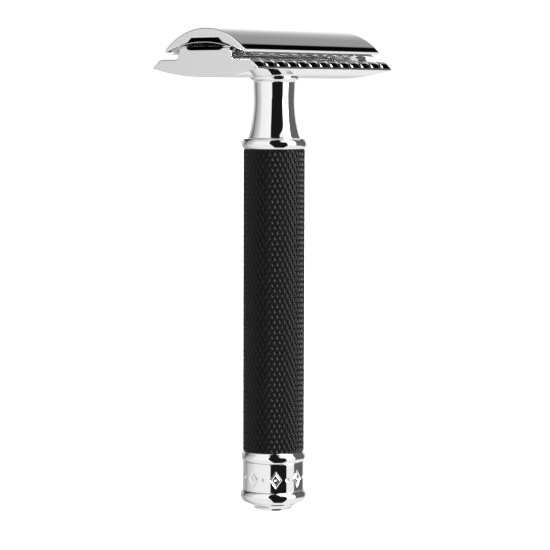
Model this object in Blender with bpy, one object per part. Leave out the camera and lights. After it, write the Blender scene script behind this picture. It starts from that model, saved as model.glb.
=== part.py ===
"""Double-edge safety razor with a closed comb: cap, blade, base plate and a knurled handle.

Lengths in this script are in millimetres, and become metres when a mesh is made.
+Z runs up the handle from the foot, +X along the blade, +Y across it.
The head turns on the handle's axis, and its cap and blade lift as its stud unscrews.
"""
import math

import bmesh
import bpy
from mathutils import Matrix

MM = 0.001

# Clearances
SEAM = 0.05            # between faces that touch
RUNNING = 0.06         # round a piece that turns or slides in a hole

# Handle: hidden core
NUT_FLATS = 5.5        # across the flats
NUT_HEIGHT = 2.4
NUT_ROOM = 0.22        # from the nut's corners to the spigot round it
WASHER_HEIGHT = 0.8
ROD_RADIUS = 1.5
ROD_GRIP = 7.0         # length of rod inside the neck's spigot
ROD_TAIL = 0.6         # length of rod below its nut
SPIGOT_WALL = 1.0
SPIGOT_HEIGHT = 4.1    # of the end cap's spigot, above the rim
CORE_WALL = 1.05
NECK_SPIGOT = 6.0      # length of the neck's spigot inside the core tube
SEAL_WIDTH = 0.5
SEAL_HEIGHT = 0.35
O_RING_SECTION = 0.24  # radius of the O-ring's section

# Handle: what shows
FOOT_RADIUS = 3.4
FOOT_HEIGHT = 0.2
FOOT_EDGE = 0.1        # chamfer round the foot
FOOT_STEM_RADIUS = 1.2
FOOT_STEM_HEIGHT = 1.1
END_CAP_HEIGHT = 1.7   # from the ground to the rim
END_CAP_INSET = 1.07   # of the rim, from the grip's radius
END_CAP_STEP = 1.18    # how far the lower step is inside the upper one
GRIP_RADIUS = 6.17
GRIP_LENGTH = 60.75
BAND_HEIGHT = 5.82
BAND_PROUD = 0.03      # the next four stand out from the grip's radius
LOWER_BEAD_PROUD = 0.51
UPPER_BEAD_PROUD = 0.35
NECK_RING_PROUD = 0.40
LOWER_BEAD_HEIGHT = 2.28
UPPER_BEAD_HEIGHT = 2.05
NECK_RING_HEIGHT = 2.05

# Neck and thread
STUD_RADIUS = 2.5
THREAD_PITCH = 0.8
THREAD_DEPTH = 0.4
THREAD_REACH = 5.6     # length of stud inside the neck
INSERT_WALL = 0.55
INSERT_LENGTH = 6.2
NECK_WALL = 0.91       # round the insert, at the waist
NECK_FLARE = 1.28      # from the waist out to the neck's foot
NECK_HEIGHT = 12.05    # from the neck ring to the plate's underside
FLANGE_LIP = 0.80      # from the waist out to the flange
FLANGE_HEIGHT = 0.65
SEAT_DEPTH = 0.35      # of the plate's recess for the flange

# Blade
BLADE_LENGTH = 43.0
BLADE_WIDTH = 22.0
BLADE_THICKNESS = 0.1
BLADE_EDGE = 37.3      # length of each cutting edge
BLADE_TAB = 13.0       # width of the end tabs
BLADE_HONED = 0.6      # width of the ground bevel
BLADE_HONED_TIP = 0.02
BLADE_BEND = 26.0      # radius that the clamped blade bends to
BLADE_HEIGHT = 6.7     # from the plate's underside to the blade's crown
SLOT_LENGTH = 34.0
SLOT_WIDTH = 2.2

# Cap
HEAD_LENGTH = 42.0
CAP_WIDTH = 20.5
CAP_RISE = 4.14        # of the crown above the tips
CAP_TIP = 0.61         # thickness at the tips
CAP_LEDGE = 3.4        # width of the band that clamps the blade
CAP_SHOULDER = (2.3, 0.7)   # across and up, from that band to the recess
CAP_CEILING = (1.0, 0.9)    # across and up, from there to the ceiling
STUD_SHANK_RADIUS = 2.0
STUD_SHANK_HEIGHT = 1.05
PIN_RADIUS = 1.5
PIN_SPACING = 21.0
PIN_SEAT = 0.8         # depth of a pin inside the cap
PIN_REACH = 3.4        # of a pin below the blade's crown
PIN_HOLE_SPARE = 0.6   # of the plate's holes past the pins' tips

# Base plate
PLATE_WIDTH = 26.7
PLATE_SAG = 1.62       # of the arched underside
SHELF_HEIGHT = 3.38    # above the underside's lowest line
SHELF_REACH = 11.8     # from the middle to where the comb slopes down
COMB_TIP = 0.33        # thickness at the comb's edge
COMB_ROUND = 0.8       # length of the rounding on each side of the shelf's edge
BLOCK_HALF_WIDTH = 6.5
BLOCK_REST = 1.1       # width of each ridge that the blade rests on
BLOCK_LEAN = 0.35      # how far the block's side leans out
BLOCK_FILLET = 0.9
DIP_HALF_WIDTH = 3.95
DIP_SLOPE = 0.75
DIP_DEPTH = 1.3        # below the blade's crown
GROOVE_COUNT = 12      # along each side
GROOVE_MARGIN = 3.04   # from the plate's end to the first groove's middle
GROOVE_RADIUS = 0.75
GROOVE_DEPTH = 0.5     # at the shelf's edge
GROOVE_RUNOUT = 0.12   # depth left at the comb's edge

ROUND = 48             # facets round the handle
ROUND_SMALL = 24
ROWS_PER_PITCH = 6     # rings of the thread's mesh in one pitch

# Radii that follow
SPIGOT_BORE = NUT_FLATS / math.sqrt(3) + NUT_ROOM
CORE_RADIUS = SPIGOT_BORE + SPIGOT_WALL
CORE_BORE = CORE_RADIUS - CORE_WALL
RING_BORE = CORE_RADIUS + SEAM
SEAL_MIDDLE = (RING_BORE + GRIP_RADIUS) / 2
INSERT_RADIUS = STUD_RADIUS + RUNNING + INSERT_WALL
WAIST_RADIUS = INSERT_RADIUS + SEAM + NECK_WALL
FLANGE_RADIUS = WAIST_RADIUS + FLANGE_LIP

# Levels that follow, from the ground up
LOWER_BEAD_BASE = END_CAP_HEIGHT + SEAM
LOWER_BEAD_TOP = LOWER_BEAD_BASE + LOWER_BEAD_HEIGHT
BAND_BASE = LOWER_BEAD_TOP + SEAM
BAND_TOP = BAND_BASE + BAND_HEIGHT
UPPER_BEAD_BASE = BAND_TOP + SEAM
UPPER_BEAD_TOP = UPPER_BEAD_BASE + UPPER_BEAD_HEIGHT
GRIP_BASE = UPPER_BEAD_TOP + SEAM
GRIP_TOP = GRIP_BASE + GRIP_LENGTH
NECK_RING_BASE = GRIP_TOP + SEAM
NECK_RING_TOP = NECK_RING_BASE + NECK_RING_HEIGHT
NECK_BASE = NECK_RING_TOP + SEAM
PLATE_BASE = NECK_BASE + NECK_HEIGHT
NECK_TOP = PLATE_BASE + SEAT_DEPTH
SPIGOT_TOP = END_CAP_HEIGHT + SPIGOT_HEIGHT
WASHER_BASE = SPIGOT_TOP + SEAM
CORE_BASE = WASHER_BASE + WASHER_HEIGHT + SEAM
NUT_TOP = WASHER_BASE - SEAM
NUT_BASE = NUT_TOP - NUT_HEIGHT
NECK_SPIGOT_BASE = NECK_BASE - NECK_SPIGOT
SHELF_LEVEL = PLATE_BASE + SHELF_HEIGHT
BLADE_CROWN = PLATE_BASE + BLADE_HEIGHT
BEND_CENTRE = BLADE_CROWN - BLADE_BEND
THREAD_FIT = STUD_RADIUS + RUNNING


def bend_level(across, offset):
    """Level of the bent blade's middle surface, moved out by offset, at a distance from the axis."""
    return BEND_CENTRE + math.sqrt((BLADE_BEND + offset) ** 2 - across ** 2)


ABOVE_BLADE = BLADE_THICKNESS / 2 + SEAM
CAP_TIP_LEVEL = bend_level(CAP_WIDTH / 2, ABOVE_BLADE) + CAP_TIP
CAP_TOP = CAP_TIP_LEVEL + CAP_RISE
CLAMP_EDGE = CAP_WIDTH / 2 - CAP_LEDGE
CEILING_LEVEL = bend_level(CLAMP_EDGE, ABOVE_BLADE) + CAP_SHOULDER[1] + CAP_CEILING[1]


def clear_scene():
    """Remove what the scene holds."""
    for item in list(bpy.data.objects):
        bpy.data.objects.remove(item, do_unlink=True)


def make_material(name, colour, roughness, metallic):
    """A Principled material for one piece."""
    material = bpy.data.materials.new(name)
    material.use_nodes = True
    shader = material.node_tree.nodes["Principled BSDF"]
    shader.inputs["Base Color"].default_value = (*colour, 1.0)
    shader.inputs["Roughness"].default_value = roughness
    shader.inputs["Metallic"].default_value = metallic
    material.diffuse_color = (*colour, 1.0)
    return material


FINISHES = {
    "chrome": ((0.80, 0.81, 0.82), 0.07, 1.0),
    "steel": ((0.62, 0.63, 0.64), 0.28, 1.0),
    "brass": ((0.80, 0.62, 0.30), 0.30, 1.0),
    "aluminium": ((0.70, 0.71, 0.72), 0.35, 1.0),
    "black": ((0.018, 0.018, 0.020), 0.42, 0.35),
    "rubber": ((0.03, 0.03, 0.03), 0.80, 0.0),
}


def add_object(name, verts, faces, finish, parent=None):
    """An object from vertices in millimetres, with its own material and closed, outward faces."""
    mesh = bpy.data.meshes.new(name)
    mesh.from_pydata([(x * MM, y * MM, z * MM) for x, y, z in verts], [], faces)
    work = bmesh.new()
    work.from_mesh(mesh)
    bmesh.ops.recalc_face_normals(work, faces=work.faces)
    work.to_mesh(mesh)
    work.free()
    item = bpy.data.objects.new(name, mesh)
    bpy.context.scene.collection.objects.link(item)
    if finish:
        mesh.materials.append(make_material(name, *FINISHES[finish]))
    item.parent = parent
    return item


def lathe(name, outline, finish, parent=None, count=ROUND, at=(0.0, 0.0)):
    """Turn an outline of (radius, level) points about the vertical line at the point given.

    The outline runs round the section once. Where it starts and ends on the axis, it closes there.
    """
    on_axis = outline[0][0] == 0.0
    verts, rings, faces = [], [], []
    for radius, level in outline:
        start = len(verts)
        turns = 1 if radius == 0.0 else count
        for step in range(turns):
            angle = 2 * math.pi * step / count
            verts.append((at[0] + radius * math.cos(angle), at[1] + radius * math.sin(angle), level))
        rings.append((start, turns))
    pairs = list(zip(rings, rings[1:]))
    if not on_axis:
        pairs.append((rings[-1], rings[0]))
    for (first, first_count), (second, second_count) in pairs:
        for step in range(count):
            after = (step + 1) % count
            corners = [first + step % first_count, first + after % first_count,
                       second + after % second_count, second + step % second_count]
            faces.append(list(dict.fromkeys(corners)))
    item = add_object(name, verts, faces, finish, parent)
    smooth(item)
    return item


def extrude(name, section, length, finish, parent=None):
    """Run a section of (across, level) points along X, centred on the axis."""
    count = len(section)
    verts = [(end * length / 2, y, z) for end in (-1, 1) for y, z in section]
    faces = [list(range(count)), list(range(count, 2 * count))]
    for step in range(count):
        after = (step + 1) % count
        faces.append([step, after, count + after, count + step])
    item = add_object(name, verts, faces, finish, parent)
    smooth(item)
    return item


def smooth(item):
    """Shade a piece smooth, except across its sharp edges."""
    mesh = item.data
    mesh.shade_smooth()
    mesh.set_sharp_from_angle(angle=math.radians(30))


def cylinder_cutter(name, radius, low, high, at=(0.0, 0.0), count=ROUND_SMALL):
    """A round cutter that stands on end."""
    item = lathe(name, [(0.0, low), (radius, low), (radius, high), (0.0, high)], None, None, count, at)
    return hide_cutter(item)


def box_cutter(name, low, high):
    """A box-shaped cutter between two corners."""
    verts = [(x, y, z) for x in (low[0], high[0]) for y in (low[1], high[1]) for z in (low[2], high[2])]
    faces = [(0, 1, 3, 2), (4, 6, 7, 5), (0, 4, 5, 1), (2, 3, 7, 6), (0, 2, 6, 4), (1, 5, 7, 3)]
    return hide_cutter(add_object(name, verts, faces, None))


def hide_cutter(item):
    """Keep a cutter out of the render, and show it as wire."""
    item.hide_render = True
    item.display_type = "WIRE"
    return item


def cut(item, cutters):
    """Cut the cutters out of a piece, apply the cuts and remove the cutters."""
    for cutter in cutters:
        modifier = item.modifiers.new(cutter.name, "BOOLEAN")
        modifier.operation = "DIFFERENCE"
        modifier.solver = "EXACT"
        modifier.object = cutter
    graph = bpy.context.evaluated_depsgraph_get()
    shaped = bpy.data.meshes.new_from_object(item.evaluated_get(graph))
    item.modifiers.clear()
    item.data = shaped
    for cutter in cutters:
        bpy.data.objects.remove(cutter, do_unlink=True)
    smooth(item)


def mirror_section(half):
    """The whole of a section from its right half, which runs from the middle and back to it."""
    return half + [(-across, level) for across, level in reversed(half) if across > 0.0]


def arc(centre, radius, start, end, count):
    """Points on an arc, between two angles in degrees."""
    points = []
    for step in range(count + 1):
        angle = math.radians(start + (end - start) * step / count)
        points.append((centre[0] + radius * math.cos(angle), centre[1] + radius * math.sin(angle)))
    return points


def bead_outline(edge, crest, base, top, count=10):
    """The rounded outside of a bead, from its base up to its top."""
    middle = (base + top) / 2
    half = (top - base) / 2
    points = []
    for step in range(count + 1):
        angle = -math.pi / 2 + math.pi * step / count
        points.append((edge + (crest - edge) * math.cos(angle), middle + half * math.sin(angle)))
    return points


# Handle

def make_foot_button(body):
    """The button that the razor stands on, pressed into the end cap."""
    hidden = FOOT_HEIGHT
    outline = [(0.0, 0.0), (FOOT_RADIUS - FOOT_EDGE, 0.0), (FOOT_RADIUS, FOOT_EDGE),
               (FOOT_RADIUS, hidden), (FOOT_STEM_RADIUS, hidden),
               (FOOT_STEM_RADIUS, hidden + FOOT_STEM_HEIGHT), (0.0, hidden + FOOT_STEM_HEIGHT)]
    return lathe("foot_button", outline, "chrome", body)


def make_end_cap(body):
    """The stepped end cap, with a hollow spigot that takes the rod's nut."""
    base = FOOT_HEIGHT + SEAM
    stem_hole = FOOT_STEM_RADIUS + SEAM
    rim = GRIP_RADIUS - END_CAP_INSET
    lower = rim - END_CAP_STEP
    rise = END_CAP_HEIGHT - base
    groove_floor = CORE_RADIUS - 2 * O_RING_SECTION - SEAM
    groove_low = END_CAP_HEIGHT + SPIGOT_HEIGHT * 0.5
    groove_high = groove_low + 2 * (O_RING_SECTION + SEAM)
    outline = [(0.0, base + FOOT_STEM_HEIGHT), (stem_hole, base + FOOT_STEM_HEIGHT), (stem_hole, base),
               (lower, base), (lower, base + 0.2 * rise), (rim, base + 0.75 * rise),
               (rim, END_CAP_HEIGHT), (CORE_RADIUS, END_CAP_HEIGHT), (CORE_RADIUS, groove_low),
               (groove_floor, groove_low), (groove_floor, groove_high), (CORE_RADIUS, groove_high),
               (CORE_RADIUS, SPIGOT_TOP), (SPIGOT_BORE, SPIGOT_TOP),
               (SPIGOT_BORE, END_CAP_HEIGHT), (0.0, END_CAP_HEIGHT)]
    make_end_cap_seal(body, groove_floor, (groove_low + groove_high) / 2)
    return lathe("end_cap", outline, "chrome", body)


def make_end_cap_seal(body, groove_floor, level):
    """The O-ring in the spigot's groove."""
    middle = groove_floor + SEAM / 2 + O_RING_SECTION
    outline = arc((middle, level), O_RING_SECTION, 0, 360 - 30, 11)
    return lathe("end_cap_seal", outline, "rubber", body, ROUND_SMALL)


def make_lower_bead(body):
    """The bead between the end cap and the band."""
    edge = GRIP_RADIUS + BAND_PROUD
    crest = GRIP_RADIUS + LOWER_BEAD_PROUD
    outline = [(RING_BORE, LOWER_BEAD_BASE), *bead_outline(edge, crest, LOWER_BEAD_BASE, LOWER_BEAD_TOP),
               (RING_BORE, LOWER_BEAD_TOP)]
    return lathe("lower_bead", outline, "chrome", body)


def make_engraved_band(body):
    """The plain ring that carries the engraving."""
    radius = GRIP_RADIUS + BAND_PROUD
    outline = [(RING_BORE, BAND_BASE), (radius, BAND_BASE), (radius, BAND_TOP), (RING_BORE, BAND_TOP)]
    return lathe("engraved_band", outline, "chrome", body)


def seal_groove(face, inward):
    """Outline points of a seal's groove in a flat ring face, from the outside in."""
    outer = SEAL_MIDDLE + SEAL_WIDTH / 2 + SEAM
    inner = SEAL_MIDDLE - SEAL_WIDTH / 2 - SEAM
    floor = face + inward * (SEAL_HEIGHT + SEAM)
    return [(outer, face), (outer, floor), (inner, floor), (inner, face)]


def make_upper_bead(body):
    """The bead under the grip, with a groove for the lower seal."""
    edge = GRIP_RADIUS + BAND_PROUD
    crest = GRIP_RADIUS + UPPER_BEAD_PROUD
    outline = [(RING_BORE, UPPER_BEAD_BASE), *bead_outline(edge, crest, UPPER_BEAD_BASE, UPPER_BEAD_TOP),
               *seal_groove(UPPER_BEAD_TOP, -1), (RING_BORE, UPPER_BEAD_TOP)]
    return lathe("upper_bead", outline, "chrome", body)


def make_neck_ring(body):
    """The bead over the grip, with a groove for the upper seal."""
    edge = GRIP_RADIUS - BAND_PROUD
    crest = GRIP_RADIUS + NECK_RING_PROUD
    beaded = bead_outline(edge, crest, NECK_RING_BASE, NECK_RING_TOP)
    outline = [(RING_BORE, NECK_RING_TOP), *reversed(beaded), *seal_groove(NECK_RING_BASE, 1),
               (RING_BORE, NECK_RING_BASE)]
    return lathe("neck_ring", outline, "chrome", body)


def make_seal(name, body, low):
    """A flat seal that lies in a bead's groove against the grip."""
    inner = SEAL_MIDDLE - SEAL_WIDTH / 2
    outer = SEAL_MIDDLE + SEAL_WIDTH / 2
    outline = [(inner, low), (outer, low), (outer, low + SEAL_HEIGHT), (inner, low + SEAL_HEIGHT)]
    return lathe(name, outline, "rubber", body)


def make_knurled_grip(body):
    """The black grip sleeve, at the knurl's full radius."""
    outline = [(RING_BORE, GRIP_BASE), (GRIP_RADIUS, GRIP_BASE),
               (GRIP_RADIUS, GRIP_TOP), (RING_BORE, GRIP_TOP)]
    return lathe("knurled_grip", outline, "black", body)


def make_core_tube(body):
    """The tube that the beads, the band and the grip are threaded on."""
    outline = [(CORE_BORE, CORE_BASE), (CORE_RADIUS, CORE_BASE),
               (CORE_RADIUS, NECK_RING_TOP), (CORE_BORE, NECK_RING_TOP)]
    return lathe("core_tube", outline, "aluminium", body)


def make_tie_rod(body):
    """The rod that pulls the handle together between the neck and its nut."""
    low = NUT_BASE - ROD_TAIL
    high = NECK_SPIGOT_BASE + ROD_GRIP
    outline = [(0.0, low), (ROD_RADIUS, low), (ROD_RADIUS, high), (0.0, high)]
    return lathe("tie_rod", outline, "steel", body, ROUND_SMALL)


def make_rod_washer(body):
    """The washer between the nut and the core tube."""
    high = WASHER_BASE + WASHER_HEIGHT
    hole = ROD_RADIUS + SEAM
    outline = [(hole, WASHER_BASE), (CORE_RADIUS, WASHER_BASE), (CORE_RADIUS, high), (hole, high)]
    return lathe("rod_washer", outline, "steel", body, ROUND_SMALL)


def make_rod_nut(body):
    """The hexagon nut on the rod."""
    radius = NUT_FLATS / math.sqrt(3)
    outline = [(0.0, NUT_BASE), (radius, NUT_BASE), (radius, NUT_TOP), (0.0, NUT_TOP)]
    nut = lathe("rod_nut", outline, "steel", body, 6)
    cut(nut, [cylinder_cutter("nut_hole", ROD_RADIUS + SEAM, NUT_BASE - 1, NUT_TOP + 1)])
    return nut


def neck_side():
    """The neck's outside, from its foot up to the flange's edge."""
    height = PLATE_BASE - FLANGE_HEIGHT - NECK_BASE
    points = []
    count = 16
    for step in range(count + 1):
        share = step / count
        flare = NECK_FLARE * max(0.0, 1 - share / 0.7) ** 2.2 + 0.13 * max(0.0, share - 0.7) / 0.3
        points.append((WAIST_RADIUS + flare, NECK_BASE + height * share))
    return points


def make_neck(body):
    """The waisted neck: a flange on top, the insert's bore in it, and a spigot in the core tube."""
    spigot = CORE_BORE - SEAM
    rod_hole = ROD_RADIUS + SEAM
    rod_floor = NECK_SPIGOT_BASE + ROD_GRIP + SEAM
    bore = INSERT_RADIUS + SEAM
    floor = NECK_TOP - INSERT_LENGTH - SEAM
    flange_base = PLATE_BASE - FLANGE_HEIGHT
    outline = [(0.0, rod_floor), (rod_hole, rod_floor), (rod_hole, NECK_SPIGOT_BASE),
               (spigot, NECK_SPIGOT_BASE), (spigot, NECK_BASE), *neck_side(),
               (WAIST_RADIUS + 0.85 * FLANGE_LIP, flange_base + 0.5 * FLANGE_HEIGHT),
               (FLANGE_RADIUS, PLATE_BASE), (FLANGE_RADIUS, NECK_TOP),
               (bore, NECK_TOP), (bore, floor), (0.0, floor)]
    return lathe("neck", outline, "chrome", body)


def make_thread_insert(body):
    """The brass bush that the stud screws into, bored to clear the thread's crests."""
    low = NECK_TOP - INSERT_LENGTH
    outline = [(THREAD_FIT, low), (INSERT_RADIUS, low), (INSERT_RADIUS, NECK_TOP), (THREAD_FIT, NECK_TOP)]
    return lathe("thread_insert", outline, "brass", body, ROUND_SMALL)


# Head

def plate_section():
    """The base plate's end view: arched underside, comb slopes, shelves and the blade's block."""
    half_width = PLATE_WIDTH / 2
    arch = (half_width ** 2 + PLATE_SAG ** 2) / (2 * PLATE_SAG)
    arch_angle = math.degrees(math.asin(half_width / arch))
    underside = arc((0.0, PLATE_BASE + arch), arch, 270, 270 + arch_angle, 12)
    tip = (half_width, underside[-1][1] + COMB_TIP)
    rest = [BLOCK_HALF_WIDTH - BLOCK_REST * share for share in (0.0, 0.5, 1.0)]
    ridge = [(across, bend_level(across, -ABOVE_BLADE)) for across in rest]
    foot = BLOCK_HALF_WIDTH + BLOCK_LEAN
    fillet = arc((foot + BLOCK_FILLET, SHELF_LEVEL + BLOCK_FILLET), BLOCK_FILLET, 270, 180, 6)
    dip = BLADE_CROWN - DIP_DEPTH
    dip_edge = DIP_HALF_WIDTH + DIP_SLOPE
    dip_lip = (dip_edge, bend_level(dip_edge, -ABOVE_BLADE) - 0.25 * DIP_SLOPE)
    half = [*underside, tip, *shelf_edge(tip), *fillet, *ridge, dip_lip,
            (DIP_HALF_WIDTH, dip), (0.0, dip)]
    return mirror_section(half)


def shelf_edge(tip):
    """The rounded edge between the comb's slope, which ends at the tip, and its shelf."""
    corner = (SHELF_REACH, SHELF_LEVEL)
    run, fall = tip[0] - corner[0], tip[1] - corner[1]
    slope = math.hypot(run, fall)
    start = (corner[0] + run / slope * COMB_ROUND, corner[1] + fall / slope * COMB_ROUND)
    end = (corner[0] - COMB_ROUND, corner[1])
    points = []
    for step in range(5):
        share = step / 4
        weights = ((1 - share) ** 2, 2 * share * (1 - share), share ** 2)
        points.append(tuple(weights[0] * a + weights[1] * b + weights[2] * c
                            for a, b, c in zip(start, corner, end)))
    return points


def groove_cutter(name, along, side):
    """A round bar that lies down the comb's slope and cuts one groove, deepest at the shelf."""
    top = (SHELF_REACH, SHELF_LEVEL)
    low = (PLATE_WIDTH / 2, PLATE_BASE + PLATE_SAG + COMB_TIP)
    run, fall = low[0] - top[0], low[1] - top[1]
    slope = math.hypot(run, fall)
    lift_top = GROOVE_RADIUS - GROOVE_DEPTH
    lift_low = GROOVE_RADIUS - GROOVE_RUNOUT
    lift = (lift_top + lift_low) / 2
    middle = ((top[0] + low[0]) / 2 - fall / slope * lift, (top[1] + low[1]) / 2 + run / slope * lift)
    bar = cylinder_cutter(name, GROOVE_RADIUS, -slope * 1.5, slope * 1.5, count=16)
    lean = math.pi / 2 + math.atan2(-fall, run) - math.atan2(lift_low - lift_top, slope)
    turn = Matrix.Rotation(-side * lean, 4, "X")
    place = Matrix.Translation((along * MM, side * middle[0] * MM, middle[1] * MM))
    bar.data.transform(place @ turn)
    return bar


def make_base_plate(body):
    """The closed-comb base plate, with its seat for the neck and its holes for stud and pins."""
    plate = extrude("base_plate", plate_section(), HEAD_LENGTH, "chrome", body)
    seat = cylinder_cutter("seat", FLANGE_RADIUS + RUNNING, PLATE_BASE - 1, NECK_TOP + SEAM, count=ROUND)
    stud = cylinder_cutter("stud_hole", STUD_RADIUS + 2 * RUNNING, PLATE_BASE - 1, BLADE_CROWN)
    pin_floor = BLADE_CROWN - PIN_REACH - PIN_HOLE_SPARE
    cutters = [seat, stud]
    for side in (-1, 1):
        spot = (side * PIN_SPACING / 2, 0.0)
        cutters.append(cylinder_cutter("pin_hole", PIN_RADIUS + RUNNING, pin_floor, BLADE_CROWN, spot))
    pitch = (HEAD_LENGTH - 2 * GROOVE_MARGIN) / (GROOVE_COUNT - 1)
    for side in (-1, 1):
        for step in range(GROOVE_COUNT):
            along = -HEAD_LENGTH / 2 + GROOVE_MARGIN + pitch * step
            cutters.append(groove_cutter("groove", along, side))
    cut(plate, cutters)
    return plate


def make_blade(body):
    """The double-edge blade, as the cap and plate bend it, with honed edges, tabs and its slot."""
    half_angle = BLADE_WIDTH / 2 / BLADE_BEND
    honed_angle = half_angle - BLADE_HONED / BLADE_BEND
    count = 24
    angles = [-honed_angle + 2 * honed_angle * step / count for step in range(count + 1)]
    upper = [(BLADE_BEND + BLADE_THICKNESS / 2, angle) for angle in angles]
    lower = [(BLADE_BEND - BLADE_THICKNESS / 2, angle) for angle in reversed(angles)]
    right = [(BLADE_BEND + side * BLADE_HONED_TIP / 2, half_angle) for side in (1, -1)]
    left = [(BLADE_BEND + side * BLADE_HONED_TIP / 2, -half_angle) for side in (-1, 1)]
    section = [(radius * math.sin(angle), BEND_CENTRE + radius * math.cos(angle))
               for radius, angle in upper + right + lower + left]
    blade = extrude("blade", section, BLADE_LENGTH, "steel", body)
    low, high = BLADE_CROWN - BLADE_HEIGHT, BLADE_CROWN + 1
    slot = (SLOT_LENGTH / 2, SLOT_WIDTH / 2)
    cutters = [box_cutter("slot", (-slot[0], -slot[1], low), (*slot, high)),
               cylinder_cutter("middle_hole", STUD_RADIUS + 3 * RUNNING, low, high)]
    for side in (-1, 1):
        spot = (side * PIN_SPACING / 2, 0.0)
        cutters.append(cylinder_cutter("side_hole", PIN_RADIUS + 2 * RUNNING, low, high, spot))
        for edge in (-1, 1):
            along = sorted((side * BLADE_EDGE / 2, side * BLADE_LENGTH))
            across = sorted((edge * BLADE_TAB / 2, edge * BLADE_WIDTH))
            cutters.append(box_cutter("notch", (along[0], across[0], low), (along[1], across[1], high)))
    cut(blade, cutters)
    return blade


def cap_section():
    """The cap's end view: a round top, tips that clamp the blade, and a recess under the crown."""
    half_width = CAP_WIDTH / 2
    radius = (half_width ** 2 + CAP_RISE ** 2) / (2 * CAP_RISE)
    angle = math.degrees(math.asin(half_width / radius))
    outside = arc((0.0, CAP_TOP - radius), radius, 90, 90 - angle, 20)
    clamp = []
    count = 6
    for step in range(count + 1):
        across = half_width - CAP_TIP / 2 + (CLAMP_EDGE - half_width + CAP_TIP / 2) * step / count
        clamp.append((across, bend_level(across, ABOVE_BLADE)))
    shoulder = (CLAMP_EDGE - CAP_SHOULDER[0], clamp[-1][1] + CAP_SHOULDER[1])
    ceiling = (shoulder[0] - CAP_CEILING[0], CEILING_LEVEL)
    half = [*outside, (half_width, CAP_TIP_LEVEL - CAP_TIP / 2), *clamp, shoulder, ceiling,
            (0.0, CEILING_LEVEL)]
    return mirror_section(half)


def make_head_cap(body):
    """The cap, with blind holes for the stud's shank and the two pins."""
    cap = extrude("head_cap", cap_section(), HEAD_LENGTH, "chrome", body)
    shank_top = CEILING_LEVEL + STUD_SHANK_HEIGHT
    cutters = [cylinder_cutter("shank_hole", STUD_SHANK_RADIUS + SEAM, CEILING_LEVEL - 1, shank_top)]
    for side in (-1, 1):
        spot = (side * PIN_SPACING / 2, 0.0)
        high = CEILING_LEVEL + PIN_SEAT
        cutters.append(cylinder_cutter("pin_seat", PIN_RADIUS + SEAM, CEILING_LEVEL - 1, high, spot))
    cut(cap, cutters)
    return cap


def make_threaded_stud(body):
    """The stud: a pressed shank inside the cap, and a right-hand thread below it."""
    low = NECK_TOP - THREAD_REACH
    high = CEILING_LEVEL - SEAM
    root = STUD_RADIUS - THREAD_DEPTH
    rows = round((high - low) / THREAD_PITCH * ROWS_PER_PITCH)
    verts = [(0.0, 0.0, low)]
    for row in range(rows + 1):
        level = low + (high - low) * row / rows
        fade = min(1.0, row / 6, (rows - row) / 6)
        for step in range(ROUND_SMALL):
            angle = 2 * math.pi * step / ROUND_SMALL
            phase = ((level - low) / THREAD_PITCH - step / ROUND_SMALL) % 1.0
            ridge = min(1.0, max(0.0, 1.7 - 4.0 * abs(phase - 0.5))) * fade
            radius = root + (STUD_RADIUS - root) * ridge
            verts.append((radius * math.cos(angle), radius * math.sin(angle), level))
    faces = [[0, 1 + step, 1 + (step + 1) % ROUND_SMALL] for step in range(ROUND_SMALL)]
    for row in range(rows):
        first = 1 + row * ROUND_SMALL
        second = first + ROUND_SMALL
        for step in range(ROUND_SMALL):
            after = (step + 1) % ROUND_SMALL
            faces.append([first + step, first + after, second + after, second + step])
    top = 1 + rows * ROUND_SMALL
    shank = len(verts)
    levels = (high, CEILING_LEVEL + STUD_SHANK_HEIGHT - SEAM)
    for level in levels:
        for step in range(ROUND_SMALL):
            angle = 2 * math.pi * step / ROUND_SMALL
            verts.append((STUD_SHANK_RADIUS * math.cos(angle), STUD_SHANK_RADIUS * math.sin(angle), level))
    crown = len(verts)
    verts.append((0.0, 0.0, levels[1]))
    for step in range(ROUND_SMALL):
        after = (step + 1) % ROUND_SMALL
        faces.append([top + step, top + after, shank + after, shank + step])
        faces.append([shank + step, shank + after, shank + ROUND_SMALL + after, shank + ROUND_SMALL + step])
        faces.append([shank + ROUND_SMALL + step, shank + ROUND_SMALL + after, crown])
    smooth(add_object("threaded_stud", verts, faces, "steel", body))


def make_locating_pin(name, body, side):
    """A pin that holds the blade in line, pressed into the cap and free in the plate."""
    low = BLADE_CROWN - PIN_REACH
    high = CEILING_LEVEL + PIN_SEAT - SEAM
    outline = [(0.0, low), (PIN_RADIUS - 0.3, low), (PIN_RADIUS, low + 0.3), (PIN_RADIUS, high), (0.0, high)]
    return lathe(name, outline, "chrome", body, ROUND_SMALL, (side * PIN_SPACING / 2, 0.0))


def make_body(name, parent=None):
    """An empty on the handle's axis, which the pieces that move together hang from."""
    body = bpy.data.objects.new(name, None)
    bpy.context.scene.collection.objects.link(body)
    body.parent = parent
    return body


def make_handle():
    """Every piece that stays with the handle."""
    body = make_body("handle_body")
    make_foot_button(body)
    make_end_cap(body)
    make_lower_bead(body)
    make_engraved_band(body)
    make_upper_bead(body)
    make_seal("lower_seal", body, UPPER_BEAD_TOP - SEAL_HEIGHT)
    make_knurled_grip(body)
    make_seal("upper_seal", body, NECK_RING_BASE)
    make_neck_ring(body)
    make_core_tube(body)
    make_tie_rod(body)
    make_rod_washer(body)
    make_rod_nut(body)
    make_neck(body)
    make_thread_insert(body)
    return body


def make_head(handle):
    """The base plate, which turns on the neck, and the blade and cap, which lift off it."""
    guard = make_body("guard_body", handle)
    make_base_plate(guard)
    make_blade(make_body("blade_body", guard))
    cap = make_body("cap_body", guard)
    make_head_cap(cap)
    make_threaded_stud(cap)
    make_locating_pin("locating_pin_left", cap, -1)
    make_locating_pin("locating_pin_right", cap, 1)


clear_scene()
make_head(make_handle())
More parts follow.
